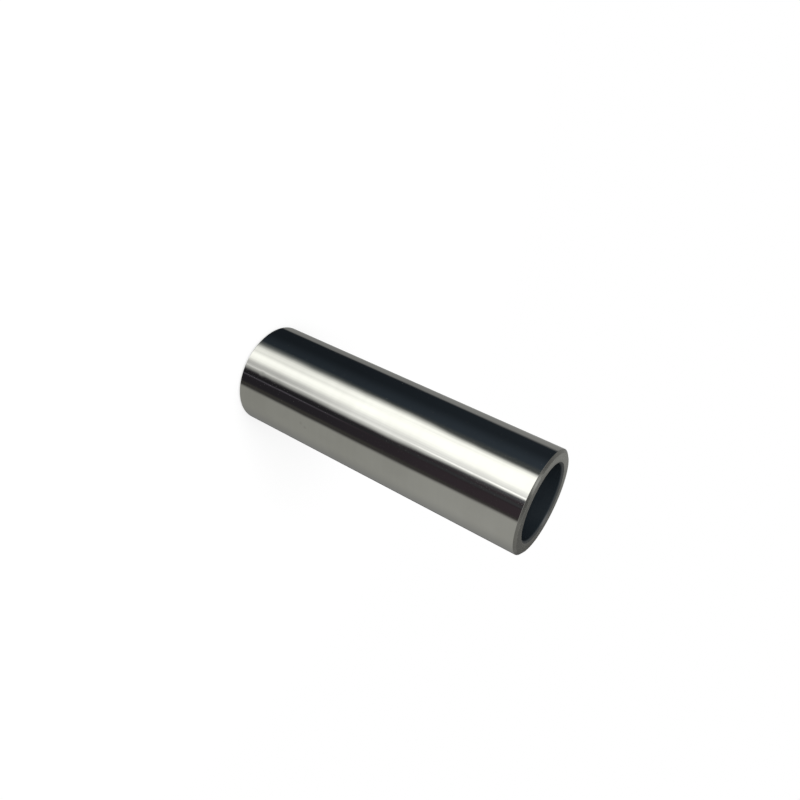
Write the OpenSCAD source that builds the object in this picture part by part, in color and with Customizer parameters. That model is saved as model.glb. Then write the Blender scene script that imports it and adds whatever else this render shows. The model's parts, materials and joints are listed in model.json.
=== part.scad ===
// Gudgeon pin: a hollow hardened steel pin, ground outside, bored right through and
// chamfered on all four edges. It stands on one end, with its axis along +Z and the
// origin at the middle of the lower end.

/* [Barrel] */
// Diameter of the ground barrel
barrel_d = 22; // [10:0.5:45]
// Length over the two end faces
pin_l = 68; // [20:1:140]
// Thickness of the wall between the barrel and the bore
wall_t = 3; // [1.5:0.25:4.5]

/* [End chamfers] */
// Width of the outer chamfer across the end face
lead_w = 0.65; // [0.3:0.05:1]
// Length of the outer chamfer along the barrel
lead_l = 0.45; // [0.3:0.05:1.5]
// Width of the bore's mouth chamfer across the end face
mouth_w = 0.45; // [0.3:0.05:1]
// Length of the mouth chamfer along the bore
mouth_l = 0.45; // [0.3:0.05:1.5]
// Radius that blends every edge of the chamfers
edge_r = 0.15; // [0.05:0.01:0.25]

/* [Hidden] */
barrel_r = barrel_d / 2;
bore_r = barrel_r - wall_t;
round_fn = 128;
blend_steps = 6;

// The wall's section as [radius, height], with sharp edges: up the barrel, in across the
// upper end, down the bore and out across the lower end.
corners = [
    [barrel_r, lead_l],
    [barrel_r, pin_l - lead_l],
    [barrel_r - lead_w, pin_l],
    [bore_r + mouth_w, pin_l],
    [bore_r, pin_l - mouth_l],
    [bore_r, mouth_l],
    [bore_r + mouth_w, 0],
    [barrel_r - lead_w, 0]
];
count = len(corners);

// The side that leaves a corner, and the angle that it heads in
function side(i) = corners[(i + 1) % count] - corners[i];
function heading(i) = atan2(side(i)[1], side(i)[0]);

// How far the section turns left at a corner
function turn(i) = (heading(i) - heading((i + count - 1) % count) + 360) % 360;

// The middle of the arc that blends a corner, square to the side that leaves it
function blend_middle(i) =
    corners[i]
    + edge_r * tan(turn(i) / 2) * [cos(heading(i)), sin(heading(i))]
    + edge_r * [-sin(heading(i)), cos(heading(i))];

// A point of that arc, from 0 where it starts to 1 where it ends
function blend_point(i, along) =
    let (angle = heading(i) - 90 - turn(i) * (1 - along))
    blend_middle(i) + edge_r * [cos(angle), sin(angle)];

module wall_section() {
    polygon([
        for (i = [0 : count - 1], step = [0 : blend_steps])
            blend_point(i, step / blend_steps)
    ]);
}

module gudgeon_pin() {
    color("silver")
        rotate_extrude($fn = round_fn) wall_section();
}

gudgeon_pin();
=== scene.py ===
import bpy
import json
import math
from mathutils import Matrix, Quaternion, Vector


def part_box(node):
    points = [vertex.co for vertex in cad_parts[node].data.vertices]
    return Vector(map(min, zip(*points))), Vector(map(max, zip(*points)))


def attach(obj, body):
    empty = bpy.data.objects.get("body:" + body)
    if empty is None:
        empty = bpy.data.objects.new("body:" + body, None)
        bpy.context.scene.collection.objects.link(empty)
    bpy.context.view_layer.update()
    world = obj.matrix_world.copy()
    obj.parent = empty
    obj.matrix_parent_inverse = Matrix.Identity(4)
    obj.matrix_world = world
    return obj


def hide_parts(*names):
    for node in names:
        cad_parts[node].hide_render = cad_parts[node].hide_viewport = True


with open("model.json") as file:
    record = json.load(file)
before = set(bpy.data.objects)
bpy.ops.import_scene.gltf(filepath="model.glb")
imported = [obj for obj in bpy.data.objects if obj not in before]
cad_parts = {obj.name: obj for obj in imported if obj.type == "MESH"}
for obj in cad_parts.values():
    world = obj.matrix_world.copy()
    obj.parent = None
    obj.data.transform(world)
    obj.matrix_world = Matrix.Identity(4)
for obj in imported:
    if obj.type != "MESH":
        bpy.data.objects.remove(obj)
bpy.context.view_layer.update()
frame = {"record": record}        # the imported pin: one node, gudgeon_pin, on one body, root
scene = bpy.context.scene
scene.view_settings.view_transform = "Standard"
low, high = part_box("gudgeon_pin")
middle = (low + high) / 2
mounts = {mount["name"]: mount for mount in frame["record"]["mounts"]}
print("frame loaded: pin box", [round(size * 1000, 2) for size in high - low], "mm")


# short helpers for node trees
def addNode(tree, kind, **settings):
    node = tree.nodes.new(kind)
    for name, value in settings.items():
        setattr(node, name, value)
    return node


def feed(tree, socket, source):    # a link where the source is a socket, or else a plain value
    if isinstance(source, bpy.types.NodeSocket):
        tree.links.new(source, socket)
    else:
        socket.default_value = source


def doMath(tree, operation, *sources):
    node = addNode(tree, "ShaderNodeMath", operation=operation)
    for socket, source in zip(node.inputs, sources):
        feed(tree, socket, source)
    return node.outputs[0]


def doVector(tree, operation, *sources):
    node = addNode(tree, "ShaderNodeVectorMath", operation=operation)
    for socket, source in zip(node.inputs, sources):
        feed(tree, socket, source)
    return node.outputs["Value" if operation in ("LENGTH", "DISTANCE", "DOT_PRODUCT") else "Vector"]


def joinXyz(tree, *sources):
    node = addNode(tree, "ShaderNodeCombineXYZ")
    for socket, source in zip(node.inputs, sources):
        feed(tree, socket, source)
    return node.outputs[0]


def splitXyz(tree, source):
    node = addNode(tree, "ShaderNodeSeparateXYZ")
    feed(tree, node.inputs[0], source)
    return node.outputs


def ease(tree, source, start, end):    # 0 before start, 1 past end, smooth between
    node = addNode(tree, "ShaderNodeMapRange", interpolation_type="SMOOTHSTEP")
    feed(tree, node.inputs["Value"], source)
    feed(tree, node.inputs["From Min"], start)
    feed(tree, node.inputs["From Max"], end)
    return node.outputs["Result"]


def mixColour(tree, factor, first, second):
    node = addNode(tree, "ShaderNodeMix", data_type="RGBA")
    feed(tree, node.inputs["Factor"], factor)
    feed(tree, node.inputs[6], first)      # the two colour sockets
    feed(tree, node.inputs[7], second)
    return node.outputs[2]


def addNoise(tree, vector, scale=1.0, detail=2.0):
    node = addNode(tree, "ShaderNodeTexNoise")
    feed(tree, node.inputs["Vector"], vector)
    node.inputs["Scale"].default_value = scale
    node.inputs["Detail"].default_value = detail
    return node.outputs["Fac"]


def addGroupSockets(tree, inputs, outputs):
    for name, kind, value in inputs:
        socket = tree.interface.new_socket(name, in_out="INPUT", socket_type=kind)
        if value is not None:
            socket.default_value = value
    for name, kind in outputs:
        tree.interface.new_socket(name, in_out="OUTPUT", socket_type=kind)


def placeGroup(tree, group, **sources):    # a shared group with its inputs set by name
    node = addNode(tree, "ShaderNodeGroup", node_tree=group)
    for name, source in sources.items():
        feed(tree, node.inputs[name], source)
    return node.outputs


def toward(azimuth, elevation):    # a unit vector, from degrees round from +X and up
    turn, rise = math.radians(azimuth), math.radians(elevation)
    return Vector((math.cos(turn) * math.cos(rise), math.sin(turn) * math.cos(rise), math.sin(rise)))


# camera: the pin stands on its end, so the picture of it lying down is taken with the camera rolled
photoView = {
    "lens": 34.276,            # on a 36 mm sensor
    "sensor": 36.0,
    "nearest": 0.005,          # metres from the lens to the nearest thing drawn
    "distance": 0.158037,      # metres from the middle of the pin
    "azimuth": -90.0,          # degrees, from +X
    "elevation": 24.936,       # degrees above the pin's middle
    "roll": 114.702,           # degrees
    "aim": (-0.006372, 0.0, -0.002283),    # the picture's middle, from the pin's middle
}


def makeCamera():
    data = bpy.data.cameras.new("photoCamera")
    data.lens = photoView["lens"]
    data.sensor_width = photoView["sensor"]
    data.clip_start = photoView["nearest"]
    camera = bpy.data.objects.new("photoCamera", data)
    scene.collection.objects.link(camera)
    side = toward(photoView["azimuth"], photoView["elevation"])
    camera.location = middle + photoView["distance"] * side
    look = middle + Vector(photoView["aim"]) - camera.location
    level = look.to_track_quat("-Z", "Y")
    camera.rotation_mode = "QUATERNION"
    camera.rotation_quaternion = level @ Quaternion((0, 0, 1), math.radians(photoView["roll"]))
    scene.camera = camera


makeCamera()
print("camera placed")


# lay marks: fine lines round the pin's axis, on the barrel, the chamfers and the ends alike
layMarks = {
    "spacing": 0.0003,         # metres between lines
    "reach": 0.012,            # metres that one line runs before it fades
    "endShare": 1.7,           # lines over an end, against lines along the barrel
    "streakScale": 0.16,       # streaks are this much sparser than lines
    "streakStart": 0.40,       # noise between which a streak comes up
    "streakFull": 0.66,
}


def makeTurnedLay():
    tree = bpy.data.node_groups.new("turnedLay", "ShaderNodeTree")
    addGroupSockets(
        tree,
        [("Vector", "NodeSocketVector", None),
         ("Spacing", "NodeSocketFloat", layMarks["spacing"]),
         ("Reach", "NodeSocketFloat", layMarks["reach"])],
        [("Lines", "NodeSocketFloat"), ("Streaks", "NodeSocketFloat")],
    )
    entry = addNode(tree, "NodeGroupInput").outputs
    leave = addNode(tree, "NodeGroupOutput").inputs
    x, y, z = splitXyz(tree, entry["Vector"])
    radius = doVector(tree, "LENGTH", joinXyz(tree, x, y, 0.0))
    across = doMath(tree, "MULTIPLY_ADD", radius, layMarks["endShare"], z)    # grows over every face
    step = doMath(tree, "DIVIDE", across, entry["Spacing"])
    run = [doMath(tree, "DIVIDE", side, entry["Reach"]) for side in (x, y)]
    lay = joinXyz(tree, step, *run)
    feed(tree, leave["Lines"], addNoise(tree, lay))
    streaks = addNoise(tree, lay, scale=layMarks["streakScale"])
    feed(tree, leave["Streaks"], ease(tree, streaks, layMarks["streakStart"], layMarks["streakFull"]))
    return tree


# handling: soft smudges and a few shallow dents
touchMarks = {
    "patch": 0.012,            # metres across a smudge
    "smudgeStart": 0.42,       # noise between which a smudge comes up
    "smudgeFull": 0.68,
    "gap": 0.012,              # metres between places for a dent
    "dentShare": 0.5,          # share of those places that have one
    "dentReach": 0.14,         # a dent's radius, as a share of the gap
}


def makeHandling():
    tree = bpy.data.node_groups.new("handling", "ShaderNodeTree")
    addGroupSockets(
        tree,
        [("Vector", "NodeSocketVector", None),
         ("Patch", "NodeSocketFloat", touchMarks["patch"]),
         ("Gap", "NodeSocketFloat", touchMarks["gap"])],
        [("Smudge", "NodeSocketFloat"), ("Dents", "NodeSocketFloat")],
    )
    entry = addNode(tree, "NodeGroupInput").outputs
    leave = addNode(tree, "NodeGroupOutput").inputs
    patch = doVector(tree, "SCALE", entry["Vector"])
    size = patch.node.inputs["Scale"]
    feed(tree, size, doMath(tree, "DIVIDE", 1.0, entry["Patch"]))
    smudge = addNoise(tree, patch, detail=4.0)
    feed(tree, leave["Smudge"], ease(tree, smudge, touchMarks["smudgeStart"], touchMarks["smudgeFull"]))
    cells = addNode(tree, "ShaderNodeTexVoronoi")
    feed(tree, cells.inputs["Vector"], entry["Vector"])
    feed(tree, cells.inputs["Scale"], doMath(tree, "DIVIDE", 1.0, entry["Gap"]))
    chance = splitXyz(tree, cells.outputs["Color"])[0]
    chosen = doMath(tree, "GREATER_THAN", chance, 1 - touchMarks["dentShare"])
    hollow = ease(tree, cells.outputs["Distance"], touchMarks["dentReach"], 0.0)
    feed(tree, leave["Dents"], doMath(tree, "MULTIPLY", hollow, chosen))
    return tree


turnedLay = makeTurnedLay()
handling = makeHandling()


# the pin's sizes in metres, and how finely it is swept
pin = {
    "Length": high.z - low.z,
    "Bore Radius": mounts["bore"]["dims"]["r_mm"] / 1000,
    "Wall": (mounts["barrel"]["dims"]["r_mm"] - mounts["bore"]["dims"]["r_mm"]) / 1000,
    "Lead Width": 0.00065,     # outer chamfer, across the end
    "Lead Length": 0.00045,    # and along the barrel
    "Mouth Width": 0.00045,    # chamfer at the bore's mouth
    "Mouth Length": 0.00045,
    "Edge Radius": 0.00015,
    "Segments": 320,
    "Blend Steps": 4,
}


# finishes: steel, each with its own colour, polish and marks
def startSteel(name):
    material = bpy.data.materials.new(name)
    material.use_nodes = True
    tree = material.node_tree
    shader = tree.nodes["Principled BSDF"]
    shader.inputs["Metallic"].default_value = 1.0
    place = addNode(tree, "ShaderNodeTexCoord").outputs["Object"]
    return material, tree, shader.inputs, place


def addBump(tree, shader, height):    # the height is in metres
    bump = addNode(tree, "ShaderNodeBump")
    bump.inputs["Distance"].default_value = 1.0
    feed(tree, bump.inputs["Height"], height)
    feed(tree, shader["Normal"], bump.outputs["Normal"])


def pinSpot(turn, radius, height):    # a place on the pin, turned in degrees from +X
    return radius * toward(turn, 0.0) + Vector((0, 0, height))


def addTone(tree, finish, streaks, smudge):    # 0 for the clean colour, towards 1 for the other
    smudged = doMath(tree, "MULTIPLY", smudge, finish["smudgeTone"])
    return doMath(tree, "MULTIPLY_ADD", streaks, finish["streakTone"], smudged)


groundBarrel = {
    "steel": (0.66, 0.66, 0.645, 1),
    "handled": (0.59, 0.585, 0.57, 1),
    "streakTone": 0.12,        # how far streaks and smudges go to the handled colour
    "smudgeTone": 0.5,
    "roughness": 0.06,         # where clean
    "streakDulled": 0.006,     # and what streaks and smudges add
    "smudgeDulled": 0.03,
    "lineSpacing": 0.00028,
    "lineDepth": 2.0e-8,
    "waveSize": 0.008,         # slow waviness left by grinding
    "waveDepth": 3.0e-5,
    "rippleSize": 0.0022,      # and a finer one
    "rippleDepth": 2.0e-6,
    "dentDepth": 4.0e-6,
    "nickTurn": -83.3,         # a shallow nick near the foot, degrees from +X
    "nickHeight": 0.0053,
    "nickReach": 0.0010,
    "nickDepth": 8.0e-6,
    "marks": ((-51.3, 0.0177), (-48.2, 0.0188)),    # two small dull marks: turn and height
    "markReach": 0.0006,
}


def makeGroundBarrel():
    finish = groundBarrel
    material, tree, shader, place = startSteel("groundBarrel")
    lay = placeGroup(tree, turnedLay, Vector=place, Spacing=finish["lineSpacing"])
    touch = placeGroup(tree, handling, Vector=place)
    tone = addTone(tree, finish, lay["Streaks"], touch["Smudge"])
    radius = pin["Bore Radius"] + pin["Wall"]
    for turn, height in finish["marks"]:
        away = doVector(tree, "DISTANCE", place, pinSpot(turn, radius, height))
        tone = doMath(tree, "ADD", tone, ease(tree, away, finish["markReach"], 0.0))
    feed(tree, shader["Base Color"], mixColour(tree, tone, finish["steel"], finish["handled"]))
    dull = doMath(tree, "MULTIPLY_ADD", touch["Smudge"], finish["smudgeDulled"], finish["roughness"])
    dull = doMath(tree, "MULTIPLY_ADD", lay["Streaks"], finish["streakDulled"], dull)
    feed(tree, shader["Roughness"], dull)
    height = doMath(tree, "MULTIPLY", lay["Lines"], finish["lineDepth"])
    for name in ("wave", "ripple"):
        rise = addNoise(tree, place, scale=1 / finish[name + "Size"], detail=1.0)
        height = doMath(tree, "MULTIPLY_ADD", rise, finish[name + "Depth"], height)
    height = doMath(tree, "MULTIPLY_ADD", touch["Dents"], -finish["dentDepth"], height)
    nick = pinSpot(finish["nickTurn"], radius, finish["nickHeight"])
    offNick = ease(tree, doVector(tree, "DISTANCE", place, nick), 0.0, finish["nickReach"])
    addBump(tree, shader, doMath(tree, "MULTIPLY_ADD", offNick, finish["nickDepth"], height))
    return material


turnedEnd = {
    "steel": (0.49, 0.49, 0.461, 1),
    "stained": (0.388, 0.382, 0.356, 1),
    "patch": 0.005,            # metres across a stain
    "streakTone": 0.4,         # how far streaks and smudges go to the stained colour
    "smudgeTone": 0.5,
    "roughness": 0.25,
    "streakDulled": 0.08,
    "lineSpacing": 0.00016,
    "lineDepth": 1.2e-6,
}


def makeTurnedEnd():
    finish = turnedEnd
    material, tree, shader, place = startSteel("turnedEnd")
    lay = placeGroup(tree, turnedLay, Vector=place, Spacing=finish["lineSpacing"])
    touch = placeGroup(tree, handling, Vector=place, Patch=finish["patch"])
    tone = addTone(tree, finish, lay["Streaks"], touch["Smudge"])
    feed(tree, shader["Base Color"], mixColour(tree, tone, finish["steel"], finish["stained"]))
    dull = doMath(tree, "MULTIPLY_ADD", lay["Streaks"], finish["streakDulled"], finish["roughness"])
    feed(tree, shader["Roughness"], dull)
    addBump(tree, shader, doMath(tree, "MULTIPLY", lay["Lines"], finish["lineDepth"]))
    return material


lappedChamfer = {
    "steel": (0.42, 0.42, 0.402, 1),
    "stained": (0.333, 0.329, 0.311, 1),
    "patch": 0.006,            # metres across a stain
    "roughness": 0.24,
    "streakDulled": 0.07,
    "lineSpacing": 0.00014,
    "lineDepth": 6.0e-7,
}


def makeLappedChamfer():
    finish = lappedChamfer
    material, tree, shader, place = startSteel("lappedChamfer")
    lay = placeGroup(tree, turnedLay, Vector=place, Spacing=finish["lineSpacing"])
    touch = placeGroup(tree, handling, Vector=place, Patch=finish["patch"])
    feed(tree, shader["Base Color"], mixColour(tree, touch["Smudge"], finish["steel"], finish["stained"]))
    dull = doMath(tree, "MULTIPLY_ADD", lay["Streaks"], finish["streakDulled"], finish["roughness"])
    feed(tree, shader["Roughness"], dull)
    addBump(tree, shader, doMath(tree, "MULTIPLY", lay["Lines"], finish["lineDepth"]))
    return material


drawnBore = {
    "scale": (0.014, 0.020, 0.026, 1),      # dark heat-treatment skin left inside
    "rubbed": (0.021, 0.027, 0.033, 1),
    "worn": (0.050, 0.053, 0.054, 1),       # the skin on the chamfer at the mouth
    "paintedHighlight": (0.105, 0.107, 0.107, 1),     # painted highlight: a lighter spot on the mouth's chamfer in place of a reflection of something bright overhead
    "highlightTurn": 70.0,          # degrees round the upper mouth, from +X, where the painted highlight sits
    "highlightReach": 0.0026,
    "mouthStart": 0.05e-3,     # metres out from the bore
    "mouthFull": 0.20e-3,
    "bareSteel": 0.25,         # how much metal shows through the skin
    "gloss": 0.2,
    "roughness": 0.50,
    "patch": 0.007,            # metres across a smudge
    "streakTone": 0.4,         # how far draw lines and smudges go to the rubbed colour
    "smudgeTone": 0.5,
    "streakDulled": 0.12,
    "drawWidth": 0.0006,       # draw lines run along the bore
    "drawLength": 0.03,
    "drawDepth": 2.5e-6,
}


def makeDrawnBore():
    finish = drawnBore
    material, tree, shader, place = startSteel("drawnBore")
    shader["Metallic"].default_value = finish["bareSteel"]
    shader["Specular IOR Level"].default_value = finish["gloss"]
    width, length = finish["drawWidth"], finish["drawLength"]
    draw = doVector(tree, "MULTIPLY", place, (1 / width, 1 / width, 1 / length))
    lines = addNoise(tree, draw)
    touch = placeGroup(tree, handling, Vector=place, Patch=finish["patch"])
    tone = addTone(tree, finish, lines, touch["Smudge"])
    skin = mixColour(tree, tone, finish["scale"], finish["rubbed"])
    radius = doVector(tree, "LENGTH", doVector(tree, "MULTIPLY", place, (1, 1, 0)))
    out = doMath(tree, "SUBTRACT", radius, pin["Bore Radius"])
    onMouth = ease(tree, out, finish["mouthStart"], finish["mouthFull"])
    # painted highlight: the mouth's chamfer is painted lighter round this spot, standing in for a
    # reflection, over its worn skin
    spot = pinSpot(finish["highlightTurn"], pin["Bore Radius"], pin["Length"])
    offHighlight = ease(tree, doVector(tree, "DISTANCE", place, spot), 0.0, finish["highlightReach"])
    wornMouthAndHighlight = mixColour(tree, offHighlight, finish["paintedHighlight"], finish["worn"])
    feed(tree, shader["Base Color"], mixColour(tree, onMouth, skin, wornMouthAndHighlight))
    dull = doMath(tree, "MULTIPLY_ADD", lines, finish["streakDulled"], finish["roughness"])
    feed(tree, shader["Roughness"], dull)
    addBump(tree, shader, doMath(tree, "MULTIPLY", lines, finish["drawDepth"]))
    return material


# the pin: its wall's section, blended at the corners, swept round the bore
endFacing = 0.97               # how squarely a face must look along the axis for the end's finish
barrelFacing = 0.78            # and away from it for the barrel's, which runs over its rounded edges
boreFacing = 0.3               # and towards it for the bore's, which takes in its mouth


def makePinTree(finishes):
    tree = bpy.data.node_groups.new("turnedPin", "GeometryNodeTree")
    sockets = [("Geometry", "NodeSocketGeometry", None)]
    for name, size in pin.items():
        kind = "NodeSocketInt" if isinstance(size, int) else "NodeSocketFloat"
        sockets.append((name, kind, None))
    addGroupSockets(tree, sockets, [("Geometry", "NodeSocketGeometry")])
    entry = addNode(tree, "NodeGroupInput").outputs
    endEdge = doMath(tree, "SUBTRACT", entry["Wall"], entry["Lead Width"])
    footLead = doMath(tree, "SUBTRACT", entry["Length"], entry["Lead Length"])
    footMouth = doMath(tree, "SUBTRACT", entry["Length"], entry["Mouth Length"])
    corners = [    # out from the bore, and down from the upper end
        (entry["Wall"], entry["Lead Length"]),
        (entry["Wall"], footLead),
        (endEdge, entry["Length"]),
        (entry["Mouth Width"], entry["Length"]),
        (0.0, footMouth),
        (0.0, entry["Mouth Length"]),
        (entry["Mouth Width"], 0.0),
        (endEdge, 0.0),
    ]
    pick = addNode(tree, "GeometryNodeIndexSwitch", data_type="VECTOR")
    while len(pick.index_switch_items) < len(corners):
        pick.index_switch_items.new()
    feed(tree, pick.inputs["Index"], addNode(tree, "GeometryNodeInputIndex").outputs[0])
    for number, (out, down) in enumerate(corners):
        feed(tree, pick.inputs[number + 1], joinXyz(tree, out, down, 0.0))
    points = addNode(tree, "GeometryNodePoints")
    points.inputs["Count"].default_value = len(corners)
    feed(tree, points.inputs["Position"], pick.outputs[0])
    outline = addNode(tree, "GeometryNodePointsToCurves")
    feed(tree, outline.inputs[0], points.outputs[0])
    closed = addNode(tree, "GeometryNodeSetSplineCyclic")
    feed(tree, closed.inputs[0], outline.outputs[0])
    closed.inputs["Cyclic"].default_value = True
    section = addNode(tree, "GeometryNodeFilletCurve", mode="POLY")
    feed(tree, section.inputs[0], closed.outputs[0])
    feed(tree, section.inputs["Radius"], entry["Edge Radius"])
    feed(tree, section.inputs["Count"], entry["Blend Steps"])
    ring = addNode(tree, "GeometryNodeCurvePrimitiveCircle", mode="RADIUS")
    feed(tree, ring.inputs["Radius"], entry["Bore Radius"])
    feed(tree, ring.inputs["Resolution"], entry["Segments"])
    raised = addNode(tree, "GeometryNodeTransform")
    feed(tree, raised.inputs["Geometry"], ring.outputs[0])
    feed(tree, raised.inputs["Translation"], joinXyz(tree, 0.0, 0.0, entry["Length"]))
    swept = addNode(tree, "GeometryNodeCurveToMesh")
    feed(tree, swept.inputs["Curve"], raised.outputs[0])
    feed(tree, swept.inputs["Profile Curve"], section.outputs[0])
    smooth = addNode(tree, "GeometryNodeSetShadeSmooth")
    feed(tree, smooth.inputs["Geometry"], swept.outputs[0])
    whole = addNode(tree, "GeometryNodeRealizeInstances")
    feed(tree, whole.inputs[0], smooth.outputs[0])

    # finishes go on by the way a face looks: out, in, along the axis, or slanted
    normal = addNode(tree, "GeometryNodeInputNormal").outputs[0]
    spot = addNode(tree, "GeometryNodeInputPosition").outputs[0]
    outward = doVector(tree, "NORMALIZE", doVector(tree, "MULTIPLY", spot, (1, 1, 0)))
    across = doVector(tree, "DOT_PRODUCT", normal, outward)
    along = doMath(tree, "ABSOLUTE", splitXyz(tree, normal)[2])
    choices = [
        (finishes["chamfer"], True),
        (finishes["barrel"], doMath(tree, "GREATER_THAN", across, barrelFacing)),
        (finishes["bore"], doMath(tree, "LESS_THAN", across, -boreFacing)),
        (finishes["end"], doMath(tree, "GREATER_THAN", along, endFacing)),
    ]
    dressed = whole.outputs[0]
    for material, chosen in choices:
        dress = addNode(tree, "GeometryNodeSetMaterial")
        feed(tree, dress.inputs["Geometry"], dressed)
        feed(tree, dress.inputs["Selection"], chosen)
        dress.inputs["Material"].default_value = material
        dressed = dress.outputs[0]
    feed(tree, addNode(tree, "NodeGroupOutput").inputs[0], dressed)
    return tree


def makePin():
    finishes = {
        "barrel": makeGroundBarrel(),
        "end": makeTurnedEnd(),
        "chamfer": makeLappedChamfer(),
        "bore": makeDrawnBore(),
    }
    blank = bpy.data.objects.new("pinBlank", bpy.data.meshes.new("pinBlank"))
    scene.collection.objects.link(blank)
    sweep = blank.modifiers.new("turnedPin", "NODES")
    sweep.node_group = makePinTree(finishes)
    for socket in sweep.node_group.interface.items_tree:
        if socket.in_out == "INPUT" and socket.name in pin:
            sweep[socket.identifier] = pin[socket.name]
    trueNormals = blank.modifiers.new("trueNormals", "WEIGHTED_NORMAL")    # keeps the long walls true
    trueNormals.weight = 100
    shown = blank.evaluated_get(bpy.context.evaluated_depsgraph_get())
    mesh = bpy.data.meshes.new_from_object(shown)
    bpy.data.objects.remove(blank)
    piece = bpy.data.objects.new("finishedPin", mesh)
    mesh.name = "finishedPin"
    scene.collection.objects.link(piece)
    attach(piece, "root")
    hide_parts("gudgeon_pin")
    return piece


finishedPin = makePin()
print("pin made:", len(finishedPin.data.polygons), "faces,", len(finishedPin.data.materials), "finishes")


# studio: what the polished steel mirrors, a grey surround with a softbox between two dark flags
studio = {
    "softboxAzimuth": -105.0,  # degrees, from +X
    "evenly": (-35.0, -13.0),  # elevations between which a card changes from its low to its high values
    "soon": (-35.0, -26.0),
    "late": (-27.0, -13.0),
    "surround": ((0.33, 0.33, 0.30, 1), (0.40, 0.40, 0.37, 1)),
    "foldWidth": 2.6,          # degrees across a fold in the softbox cloth
    "drape": 2.4,              # degrees that the cloth's edges wander
    "drapeLength": 1.3,        # over this many degrees of height
    "bulge": 0.031,            # share by which the softbox is wider at mid height
    "bulgeAt": -26.5,
    "bulgeReach": 9.0,
    "fill": 0.80,              # even light on everything but mirrors
}
slate, plum, rust = (0.77, 1.0, 1.26), (1.03, 0.94, 1.12), (1.14, 0.88, 1.02)
umber, cool, haze = (1.05, 1.0, 0.9), (0.97, 0.99, 1.06), (0.92, 1.0, 0.98)
card, cloth = (1.0, 1.0, 0.965), (1.0, 1.005, 0.945)
# each card lies over the ones before it; pairs are low down and high up, edges in degrees from the softbox
cards = [
    {"name": "dimSurround", "tint": (card, card), "level": (0.235, 0.255),
     "start": (145, 145), "startSoft": (60, 60), "end": (200, 200), "endSoft": (4, 4)},
    {"name": "backCurtainRight", "tint": (card, card), "level": (0.118, 0.118),
     "start": (174, 174), "startSoft": (4, 4), "end": (200, 200), "endSoft": (4, 4)},
    {"name": "backCurtainLeft", "tint": (card, card), "level": (0.118, 0.118),
     "start": (-200, -200), "startSoft": (4, 4), "end": (-160, -160), "endSoft": (4, 4)},
    {"name": "backWindow", "tint": (card, card), "level": (0.30, 0.335),
     "start": (-163.8, -163.8), "startSoft": (4, 4), "end": (-130, -130), "endSoft": (4, 4)},
    {"name": "backCard", "tint": (card, card), "level": (0.235, 0.268),
     "start": (-145, -145), "startSoft": (20, 20), "end": (-100, -100), "endSoft": (4, 4)},
    {"name": "leftFlag", "tint": (slate, slate), "level": (0.0160, 0.023),
     "start": (-114.1, -112.4), "startSoft": (9, 13), "end": (-20, -20), "endSoft": (4, 4)},
    {"name": "leftFlagLit", "tint": (slate, slate), "level": (0.032, 0.048),
     "start": (-63, -65), "startSoft": (36, 36), "end": (-20, -20), "endSoft": (4, 4)},
    {"name": "softboxGlow", "tint": (haze, haze), "level": (0.14, 0.085), "change": "soon",
     "start": (-40, -40), "startSoft": (10, 12), "end": (-10, -10), "endSoft": (4, 4)},
    {"name": "rightFlag", "tint": (plum, rust), "level": (0.022, 0.038),
     "start": (10, 10), "startSoft": (4, 4), "end": (73.7, 70.4), "endSoft": (9, 9)},
    {"name": "flagGlow", "tint": (cool, cool), "level": (0.02, 0.10), "change": "late",
     "start": (10, 10), "startSoft": (4, 4), "end": (32.5, 32.5), "endSoft": (8, 8)},
    {"name": "flagEdge", "tint": (umber, umber), "level": (0.046, 0.046),
     "start": (63.5, 64.2), "startSoft": (5, 5), "end": (70.5, 68.2), "endSoft": (4, 4)},
    {"name": "flagSheen", "tint": (cool, cool), "level": (0.0165, 0.050),
     "start": (37.5, 37.5), "startSoft": (4, 4), "end": (43, 44.5), "endSoft": (4, 4)},
    {"name": "flagSeam", "tint": (plum, rust), "level": (0.10, 0.03), "change": "soon",
     "start": (43.4, 43.4), "startSoft": (1.6, 1.6), "end": (45.6, 45.6), "endSoft": (1.6, 1.6)},
    {"name": "softboxCloth", "tint": (cloth, cloth), "level": (1.15, 1.46), "change": "soon", "fold": 0.6,
     "start": (-29.3, -26.9), "startSoft": (17.5, 11), "end": (25.0, 24.1), "endSoft": (21, 6.5)},
    {"name": "softboxShade", "tint": (card, card), "level": (0.63, 1.08), "change": "soon", "fold": 0.6,
     "start": (10, 13), "startSoft": (12, 12), "end": (25.0, 24.1), "endSoft": (21, 6.5)},
    {"name": "softboxCore", "tint": (cloth, cloth), "level": (1.48, 1.62), "change": "soon",
     "start": (-10, -20), "startSoft": (8, 8), "end": (3.4, 9), "endSoft": (14, 12)},
    {"name": "softboxRim", "tint": (card, card), "level": (0.92, 1.75),
     "start": (21.4, 21.1), "startSoft": (1.8, 1.8), "end": (23.9, 23.6), "endSoft": (1.8, 1.8)},
]


def makeStudioCard():
    tree = bpy.data.node_groups.new("studioCard", "ShaderNodeTree")
    numbers = ["Turn", "start", "startSoft", "end", "endSoft"]
    addGroupSockets(
        tree,
        [("Behind", "NodeSocketColor", None), ("Card", "NodeSocketColor", None)]
        + [(name, "NodeSocketFloat", None) for name in numbers],
        [("Colour", "NodeSocketColor")],
    )
    entry = addNode(tree, "NodeGroupInput").outputs
    leave = addNode(tree, "NodeGroupOutput").inputs
    sides = []
    for edge in ("start", "end"):
        half = doMath(tree, "MULTIPLY", entry[edge + "Soft"], 0.5)
        before = doMath(tree, "SUBTRACT", entry[edge], half)
        after = doMath(tree, "ADD", entry[edge], half)
        sides.append(ease(tree, entry["Turn"], before, after))
    inside = doMath(tree, "SUBTRACT", sides[0], sides[1])
    feed(tree, leave["Colour"], mixColour(tree, inside, entry["Behind"], entry["Card"]))
    return tree


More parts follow.
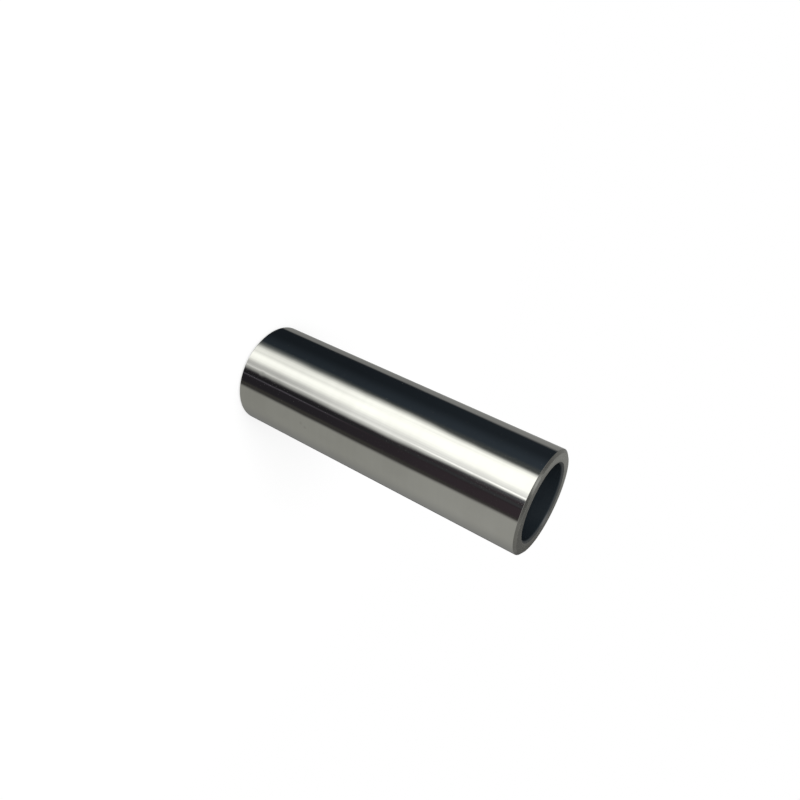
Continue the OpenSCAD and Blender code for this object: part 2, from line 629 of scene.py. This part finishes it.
def hangCards(tree, turn, rise, y):
    ramps = {name: ease(tree, rise, *studio[name]) for name in ("evenly", "soon", "late")}
    across = doMath(tree, "DIVIDE", turn, studio["foldWidth"])
    folds = addNoise(tree, joinXyz(tree, across, ramps["evenly"], 0.0))
    along = doMath(tree, "DIVIDE", rise, studio["drapeLength"])
    wander = doMath(tree, "SUBTRACT", addNoise(tree, joinXyz(tree, along, y, 0.0), detail=3.0), 0.5)
    off = doMath(tree, "ABSOLUTE", doMath(tree, "SUBTRACT", rise, studio["bulgeAt"]))
    bulge = ease(tree, off, studio["bulgeReach"], 0.0)
    widened = doMath(tree, "MULTIPLY", turn, doMath(tree, "MULTIPLY_ADD", bulge, -studio["bulge"], 1.0))
    draped = doMath(tree, "MULTIPLY_ADD", wander, 2 * studio["drape"], widened)
    studioCard = makeStudioCard()
    walls = mixColour(tree, ramps["evenly"], *studio["surround"])
    for part in cards:
        where = turn
        colours = []
        for tint, level in zip(part["tint"], part["level"]):
            colours.append([share * level for share in tint] + [1])
        colour = mixColour(tree, ramps[part.get("change", "evenly")], *colours)
        if "fold" in part:    # cloth, uneven and with edges that wander
            uneven = doMath(tree, "MULTIPLY_ADD", folds, part["fold"], 1 - part["fold"] / 2)
            colour = doVector(tree, "MULTIPLY", colour, joinXyz(tree, uneven, uneven, uneven))
            where = draped
        edges = {}
        for name in ("start", "startSoft", "end", "endSoft"):
            lowDown, highUp = part[name]
            edges[name] = doMath(tree, "MULTIPLY_ADD", ramps["late"], highUp - lowDown, lowDown)
        walls = placeGroup(tree, studioCard, Behind=walls, Card=colour, Turn=where, **edges)["Colour"]
        walls.node.label = part["name"]
    return walls


studioCeiling = {
    "start": 15.0,             # elevations between which the walls fade into it
    "full": 50.0,
    "sides": ((0.27, 0.27, 0.262, 1), (0.33, 0.33, 0.314, 1)),    # to the camera's left and right
    "sideReach": (-0.5, 0.5),  # how far over each is full
    "top": (0.15, 0.15, 0.145, 1),
    "topStart": (36.0, 60.0),  # elevations at which it starts to darken, left and right
    "topFull": (56.0, 80.0),
    "front": (0.42, 0.42, 0.405, 1),          # over the softbox
    "frontReach": (0.25, 0.5),                # how far forward it starts and is full
    "skylight": (0.46, 0.46, 0.443, 1),       # a wide pale panel high up at the back
    "skylightToward": (0.0, 0.788, 0.616),
    "skylightReach": (38.0, 16.0),            # degrees from its middle at which it starts and is full
    "lamp": (1.03, 1.03, 0.985, 1),           # a small lamp overhead, which the upper chamfer mirrors
    "lampToward": (-0.21, 0.18, 0.957),
    "lampReach": (12.5, 4.0),
}


def makeCeiling(tree, look, x, y, rise):
    onRight = ease(tree, y, *studioCeiling["sideReach"])
    colour = mixColour(tree, onRight, *studioCeiling["sides"])
    topEdges = []
    for left, right in (studioCeiling["topStart"], studioCeiling["topFull"]):
        topEdges.append(doMath(tree, "MULTIPLY_ADD", onRight, right - left, left))
    colour = mixColour(tree, ease(tree, rise, *topEdges), colour, studioCeiling["top"])
    inFront = ease(tree, x, *studioCeiling["frontReach"])
    colour = mixColour(tree, inFront, colour, studioCeiling["front"])
    for light in ("skylight", "lamp"):
        way = Vector(studioCeiling[light + "Toward"]).normalized()
        apart = doMath(tree, "DEGREES", doMath(tree, "ARCCOSINE", doVector(tree, "DOT_PRODUCT", look, way)))
        lit = ease(tree, apart, *studioCeiling[light + "Reach"])
        colour = mixColour(tree, lit, colour, studioCeiling[light])
    return colour


def makeStudio():
    world = bpy.data.worlds.new("studio")
    scene.world = world
    world.use_nodes = True
    world.cycles.sampling_method = "NONE"    # each ray finds the studio by itself
    tree = world.node_tree
    tree.nodes.clear()
    look = addNode(tree, "ShaderNodeTexCoord").outputs["Generated"]
    face = addNode(tree, "ShaderNodeVectorRotate", rotation_type="Z_AXIS")
    feed(tree, face.inputs["Vector"], look)
    face.inputs["Angle"].default_value = -math.radians(studio["softboxAzimuth"])
    x, y, z = splitXyz(tree, face.outputs[0])    # x towards the softbox, y to the camera's right
    rise = doMath(tree, "DEGREES", doMath(tree, "ARCSINE", z))
    turn = doMath(tree, "DEGREES", doMath(tree, "ARCTAN2", y, x))
    walls = hangCards(tree, turn, rise, y)
    ceiling = makeCeiling(tree, look, x, y, rise)
    above = ease(tree, rise, studioCeiling["start"], studioCeiling["full"])
    mirrored = mixColour(tree, above, walls, ceiling)
    path = addNode(tree, "ShaderNodeLightPath").outputs
    white = (1, 1, 1, 1)
    even = (studio["fill"],) * 3 + (1,)
    seen = mixColour(tree, path["Is Glossy Ray"], even, mirrored)
    sky = addNode(tree, "ShaderNodeBackground")
    feed(tree, sky.inputs["Color"], mixColour(tree, path["Is Camera Ray"], seen, white))
    feed(tree, addNode(tree, "ShaderNodeOutputWorld").inputs["Surface"], sky.outputs[0])


makeStudio()
print("studio hung:", len(cards), "cards")


# floor: pale card that takes the pin's shadow and turns white further out
paleFloor = {
    "half": 2.0,               # metres
    "card": (0.93, 0.93, 0.93, 1),
    "shadowEnd": 0.05,         # past this the card fades into the white backdrop
    "whiteStart": 0.14,
    "shadowShare": 0.32,       # of the shadow's depth that is kept near the pin
}


def makeFloor():
    half = paleFloor["half"]
    mesh = bpy.data.meshes.new("floor")
    sides = [(-half, -half, 0), (half, -half, 0), (half, half, 0), (-half, half, 0)]
    mesh.from_pydata(sides, [], [(0, 1, 2, 3)])
    floor = bpy.data.objects.new("floor", mesh)
    scene.collection.objects.link(floor)
    floor.visible_glossy = False      # the steel mirrors the studio's bands instead
    material = bpy.data.materials.new("paleCard")
    material.use_nodes = True
    tree = material.node_tree
    matt = tree.nodes["Principled BSDF"]
    matt.inputs["Base Color"].default_value = paleFloor["card"]
    matt.inputs["Roughness"].default_value = 1.0
    matt.inputs["Specular IOR Level"].default_value = 0.0
    place = addNode(tree, "ShaderNodeTexCoord").outputs["Object"]
    away = ease(tree, doVector(tree, "LENGTH", place), paleFloor["shadowEnd"], paleFloor["whiteStart"])
    camera = addNode(tree, "ShaderNodeLightPath").outputs["Is Camera Ray"]
    glow = addNode(tree, "ShaderNodeEmission")
    mix = addNode(tree, "ShaderNodeMixShader")
    share = paleFloor["shadowShare"]
    whiter = doMath(tree, "MULTIPLY_ADD", away, share, 1 - share)
    feed(tree, mix.inputs[0], doMath(tree, "MULTIPLY", whiter, camera))
    feed(tree, mix.inputs[1], matt.outputs[0])
    feed(tree, mix.inputs[2], glow.outputs[0])
    feed(tree, tree.nodes["Material Output"].inputs["Surface"], mix.outputs[0])
    mesh.materials.append(material)


makeFloor()


# softbox: the one lamp, over the pin on the side of the mirrored softbox
softbox = {
    "distance": 0.45,          # metres from the pin's middle
    "elevation": 52.0,
    "width": 0.40,
    "power": 1.6,              # watts
}


def makeSoftbox():
    data = bpy.data.lights.new("softbox", "AREA")
    data.size = softbox["width"]
    data.energy = softbox["power"]
    lamp = bpy.data.objects.new("softbox", data)
    scene.collection.objects.link(lamp)
    side = toward(studio["softboxAzimuth"], softbox["elevation"])
    lamp.location = middle + softbox["distance"] * side
    lamp.rotation_euler = (-side).to_track_quat("-Z", "Y").to_euler()
    lamp.visible_glossy = False       # its mirror image is in the studio's bands


makeSoftbox()
print("floor and softbox placed")
